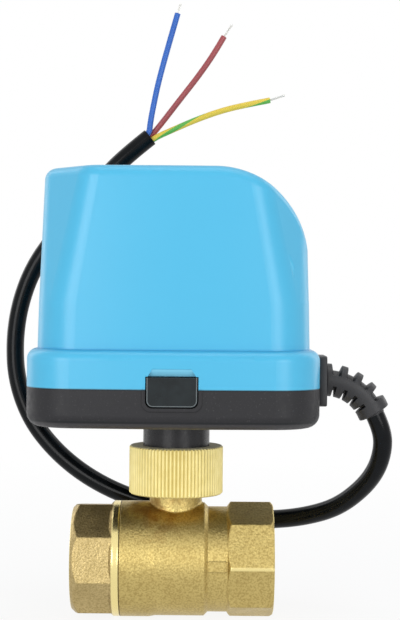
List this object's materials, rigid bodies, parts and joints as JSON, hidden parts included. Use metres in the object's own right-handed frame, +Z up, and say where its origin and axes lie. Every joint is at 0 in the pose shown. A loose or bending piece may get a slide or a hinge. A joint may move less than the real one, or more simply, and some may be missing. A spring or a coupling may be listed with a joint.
{
  "type": "motorized ball valve",
  "caption": "Two-way brass ball valve with female threaded ports, turned by a snap-covered electric actuator held by a knurled union nut, with a three-core lead.",
  "frame": {"origin": "centre of the ball, where the pipe axis meets the stem axis", "axes": "+Z up the stem towards the actuator, +X along the pipe out of the port below the cable gland"},
  "size_m": [0.1267, 0.0779, 0.1993],
  "materials": {
    "forged_brass": "sand-blasted forging",
    "turned_brass": "turned",
    "knurled_brass": "bright, straight knurl",
    "seat_plastic": "smooth white",
    "chromed_ball": "polished",
    "seal_rubber": "smooth",
    "spring_steel": "oiled",
    "base_plastic": "fine matt moulding",
    "cover_plastic": "satin moulding",
    "latch_plastic": "smooth moulding",
    "drive_steel": "turned",
    "gear_plastic": "smooth white",
    "switch_plastic": "moulded",
    "button_plastic": "moulded",
    "plate_steel": "zinc plated",
    "screw_steel": "zinc plated",
    "motor_steel": "drawn and plated",
    "circuit_board": "solder mask",
    "relay_plastic": "moulded",
    "terminal_plastic": "moulded",
    "gland_rubber": "moulded",
    "cable_pvc": "satin sheath",
    "core_blue": "insulation",
    "core_brown": "insulation",
    "core_yellow_green": "striped insulation",
    "tinned_copper": "tinned"
  },
  "bodies": {
    "valve_and_tray": {"valve_body": "forged_brass", "end_connector": "forged_brass", "seat_left": "seat_plastic", "seat_right": "seat_plastic", "stem_washer": "seat_plastic", "nut_retaining_ring": "spring_steel", "base_housing": "base_plastic", "switch_open": "switch_plastic", "switch_closed": "switch_plastic", "gear_plate_lower": "plate_steel", "gear_plate_upper": "plate_steel", "frame_pillars": "plate_steel", "frame_screws": "screw_steel", "idler_axle": "drive_steel", "motor_gearhead": "motor_steel", "motor_can": "motor_steel", "motor_screws": "screw_steel", "control_board": "circuit_board", "relay": "relay_plastic", "terminal_block": "terminal_plastic", "strain_relief": "gland_rubber", "cable": "cable_pvc", "core_blue": "core_blue", "core_brown": "core_brown", "core_yellow_green": "core_yellow_green", "bare_end_blue": "tinned_copper", "bare_end_brown": "tinned_copper", "bare_end_yellow_green": "tinned_copper"},
    "ball_drive": {"ball": "chromed_ball", "stem": "turned_brass", "stem_o_rings": "seal_rubber", "drive_shaft": "drive_steel", "limit_cam": "gear_plastic", "output_gear": "gear_plastic"},
    "idler": {"idler_gear": "gear_plastic"},
    "motor_output": {"motor_pinion": "drive_steel"},
    "nut": {"union_nut": "knurled_brass"},
    "lid": {"cover": "cover_plastic"},
    "front_latch": {"latch_front": "latch_plastic"},
    "rear_latch": {"latch_rear": "latch_plastic"},
    "open_button": {"button_open": "button_plastic"},
    "closed_button": {"button_closed": "button_plastic"}
  },
  "joints": [
    {"name": "ball_turn", "type": "hinge", "parent": "valve_and_tray", "child": "ball_drive", "pos_m": [0, 0, 0], "axis": [0, 0, 1], "range_deg": [0, 90]},
    {"name": "idler_turn", "type": "hinge", "parent": "valve_and_tray", "child": "idler", "pos_m": [0.0216, 0, 0.06], "axis": [0, 0, 1], "range_deg": [-270, 0]},
    {"name": "motor_turn", "type": "hinge", "parent": "valve_and_tray", "child": "motor_output", "pos_m": [0.00945, 0.01448, 0.065], "axis": [0, 0, 1], "range_deg": [0, 675]},
    {"name": "union_nut_turn", "type": "hinge", "parent": "valve_and_tray", "child": "nut", "pos_m": [0, 0, 0.0278], "axis": [0, 0, 1], "continuous": true},
    {"name": "cover_lift", "type": "slide", "parent": "valve_and_tray", "child": "lid", "axis": [0, 0, 1], "range_m": [0, 0.08]},
    {"name": "front_latch_flex", "type": "hinge", "parent": "valve_and_tray", "child": "front_latch", "pos_m": [-0.001, -0.03, 0.0498], "axis": [1, 0, 0], "range_deg": [0, 8], "stiffness_Nm_per_rad": 0.05},
    {"name": "rear_latch_flex", "type": "hinge", "parent": "valve_and_tray", "child": "rear_latch", "pos_m": [-0.001, 0.03, 0.0498], "axis": [-1, 0, 0], "range_deg": [0, 8], "stiffness_Nm_per_rad": 0.05},
    {"name": "open_button_press", "type": "slide", "parent": "valve_and_tray", "child": "open_button", "axis": [1, 0, 0], "range_m": [0, 0.0006], "stiffness_N_per_m": 300},
    {"name": "closed_button_press", "type": "slide", "parent": "valve_and_tray", "child": "closed_button", "axis": [0, 1, 0], "range_m": [0, 0.0006], "stiffness_N_per_m": 300}
  ],
  "couplings": [
    {"joint": "idler_turn", "follows": "ball_turn", "ratio": -3},
    {"joint": "motor_turn", "follows": "ball_turn", "ratio": 7.5}
  ]
}
